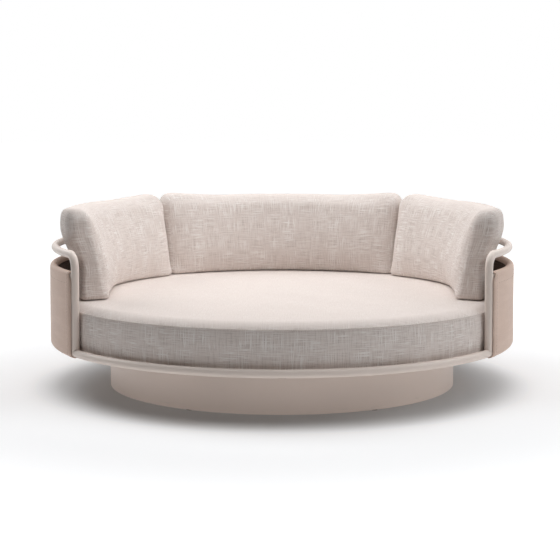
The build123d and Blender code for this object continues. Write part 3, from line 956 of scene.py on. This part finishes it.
def skin_angles():
    """Angles of the skin's columns: even, with one at each edge of its hems and its notches."""
    edges = []
    for inset in (0, HEM_WIDTH, HEM_WIDTH + HEM_FOLD / 2, HEM_WIDTH + HEM_FOLD):
        turn = math.degrees(inset / PANEL_RADIUS)
        edges += [PANEL_START + turn, 360 - PANEL_START - turn]
    for post in REAR_POSTS:
        edges += [post - NOTCH_TURN, post + NOTCH_TURN]
    edges = sorted(edges)
    angles = []
    for start, end in zip(edges, edges[1:]):
        count = max(round(math.radians(end - start) * PANEL_RADIUS / SKIN_CELL), 1)
        angles.append(np.linspace(start, end, count, endpoint=False))
    return np.concatenate([*angles, edges[-1:]])


def make_skin():
    """The skin's path carried round from post to post, cut out round the rear posts, and walled."""
    angle = skin_angles()
    end = np.zeros(len(angle))
    end[0], end[-1] = -1, 1
    run = skin_run[:, None]
    reach = END_REACH * smooth((run - roll_end) / REACH_FADE)
    spread = angle + end * np.degrees(reach / PANEL_RADIUS)
    arc = np.radians(spread - PANEL_START) * PANEL_RADIUS
    stands = pull(arc, run)
    radius = skin_path[:, :1] + skin_out[:, :1] * stands
    height = skin_path[:, 1:] + skin_out[:, 1:] * stands
    points = around(radius, spread, height)
    cloth = np.stack(np.broadcast_arrays(arc, -run), -1)
    cells = quads(*points.shape[:2])
    row, column = np.divmod(cells[:, 0], len(angle))
    middle_angle = (angle[column] + angle[column + 1]) / 2
    from_post = np.abs(middle_angle[:, None] - REAR_POSTS).min(1)
    kept = cells[(from_post >= NOTCH_TURN) | (row >= ROLL_CREST)]
    used, faces = np.unique(kept, return_inverse=True)
    flat = cloth.reshape(-1, 2)[kept]
    piece = build("sling_skin", points.reshape(-1, 3)[used], faces.reshape(-1, 4), flat)
    thicken(piece, SKIN)
    dress(piece, sling_hide, "frame")
    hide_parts("back_panel")


def make_lining():
    """Mesh lining inside the skin: a band carried round, walled to its thickness."""
    middle = lining_high.y - LINING_INSET
    heights = np.linspace(lining_low.z, lining_high.z, LINING_ROWS)
    angle = np.linspace(PANEL_START, 360 - PANEL_START, LINING_COLUMNS)
    points = around(middle, angle[None, :], heights[:, None])
    arc = np.radians(angle) * middle
    cloth = np.stack(np.broadcast_arrays(arc[None, :], heights[:, None]), -1)
    piece = sew("sling_lining", [(points, cloth)], 0)
    thicken(piece, LINING_WALL)
    dress(piece, sling_mesh, "frame")
    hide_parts("panel_lining")


def skin_spots(arc, run):
    """Places on the outside of the skin, with the directions down it, outwards and along it."""
    angle = PANEL_START + np.degrees(arc / PANEL_RADIUS)
    stands = pull(arc, run) + SKIN / 2
    radius, height = (np.interp(run, skin_run, part) for part in skin_path.T)
    out_radius, out_height = (np.interp(run, skin_run, part) for part in skin_out.T)
    places = around(radius + out_radius * stands, angle, height + out_height * stands)
    outward = around(out_radius, angle, out_height)
    downward = around(out_height, angle, -out_radius)
    return places, downward, outward, np.cross(downward, outward)


def stitch_line(name, places, along, outward):
    """A row of stitches: each is a small spindle of thread that dips into the cloth at both ends."""
    rings = np.linspace(-1, 1, STITCH_RINGS)[None, :, None, None]
    girth = np.linspace(0, 2 * math.pi, STITCH_GIRTH)[None, None, :, None]
    sideways = np.cross(along, outward)
    radius = STITCH_THICKNESS / 2
    slim = np.sqrt(1 - 0.999 * rings**2)
    middle = places[:, None, None, :] + along[:, None, None, :] * rings * STITCH_LENGTH / 2
    round_out = outward[:, None, None, :] * np.sin(girth) + sideways[:, None, None, :] * np.cos(girth)
    points = middle + round_out * radius * slim - outward[:, None, None, :] * radius * rings**2
    starts = np.arange(len(places)) * STITCH_RINGS * STITCH_GIRTH
    cells = quads(STITCH_RINGS, STITCH_GIRTH)[None] + starts[:, None, None]
    piece = build(name, points, cells.reshape(-1, 4), weld=STITCH_WELD)
    dress(piece, sling_thread, "frame")


def make_stitches():
    """Two rows down each end hem, from the roll to under the ring, and one below the roll."""
    run = np.arange(skin_run[ROLL_CREST - 1], skin_run[-3], STITCH_PITCH)
    for side_name, start, step in (("left", 0, 1), ("right", sling_width, -1)):
        rows = [skin_spots(np.full(len(run), start + step * inset), run) for inset in STITCH_INSETS]
        places, downward, outward, _ = (np.concatenate(parts) for parts in zip(*rows))
        stitch_line(f"end_stitches_{side_name}", places, downward, outward)
    arc = np.arange(STITCH_MARGIN, sling_width - STITCH_MARGIN, STITCH_PITCH)
    hem_run = skin_run[ROLL_END + 2]
    places, _, outward, sidelong = skin_spots(arc, np.full(len(arc), hem_run))
    stitch_line("hem_stitches", places, sidelong, outward)


make_mattress()
make_seam()
for cushion in CUSHIONS:
    make_cushion(*cushion)
make_skin()
make_lining()
make_stitches()


# Floor, light and camera


def make_floor():
    """Pale floor: it shows white with the bed's shadow, and glows a little under the bed."""
    corners = FLOOR_REACH * np.array([(-1, -1, 0), (1, -1, 0), (1, 1, 0), (-1, 1, 0)])
    floor = build("floor", corners, np.array([(0, 1, 2, 3)]))
    finish = Finish("floor", {"Roughness": 1.0, "Specular IOR Level": 0.0, "Emission Strength": 1.0})
    share = finish.shown_share()
    place = finish.object_place()
    away = finish.node("ShaderNodeVectorMath", {"operation": "LENGTH"}, {0: place}, "Value")
    near = finish.blend(finish.between(away, *NEAR_GLOW_RING), BLACK, NEAR_GLOW)
    shown_glow = finish.blend(finish.between(away, *WHITE_RING), near, WHITE)
    thrown_glow = finish.blend(finish.between(away, *THROWN_GLOW_RING), THROWN_GLOW, BLACK)
    finish.end(
        Base_Color=finish.blend(share, FLOOR_THROWN, FLOOR_SHOWN),
        Emission_Color=finish.blend(share, thrown_glow, shown_glow),
    )
    floor.data.materials.append(finish.material)


def make_world():
    """Faint even light, and plain white where the world itself is seen."""
    world = bpy.data.worlds.new("studio")
    world.use_nodes = True
    nodes = Nodes(world.node_tree)
    ambient = nodes.node("ShaderNodeBackground", {}, {"Color": WHITE, "Strength": AMBIENT})
    white = nodes.node("ShaderNodeBackground", {}, {"Color": WHITE, "Strength": 1.0})
    sockets = {0: nodes.shown_share(), 1: ambient, 2: white}
    seen = nodes.node("ShaderNodeMixShader", {}, sockets)
    nodes.lead_out("ShaderNodeOutputWorld", seen.output)
    bpy.context.scene.world = world


def soft_box(name, place, aim, size, power):
    """Square lamp that points at a place: tipped from straight down, then turned towards it."""
    lamp = bpy.data.lights.new(name, "AREA")
    lamp.shape = "SQUARE"
    lamp.size = size
    lamp.energy = power
    holder = bpy.data.objects.new(name, lamp)
    bpy.context.scene.collection.objects.link(holder)
    holder.location = place
    east, north, up = np.array(aim) - np.array(place)
    tip = math.atan2(math.hypot(east, north), -up)
    holder.rotation_euler = (tip, 0, math.atan2(north, east) - math.pi / 2)


def make_camera():
    """Camera before the open front, tipped down a few degrees and shifted to frame the bed."""
    camera_data = bpy.data.cameras.new("camera")
    camera_data.lens = CAMERA_LENS
    camera_data.sensor_width = CAMERA_SENSOR
    camera_data.shift_x, camera_data.shift_y = CAMERA_SHIFT
    camera = bpy.data.objects.new("camera", camera_data)
    bpy.context.scene.collection.objects.link(camera)
    camera.location = CAMERA_PLACE
    camera.rotation_euler = (math.radians(90 - CAMERA_DOWN), 0, 0)
    bpy.context.scene.camera = camera


make_floor()
make_world()
for lamp_row in LAMPS:
    soft_box(*lamp_row)
make_camera()
bpy.context.scene.view_settings.view_transform = "Standard"
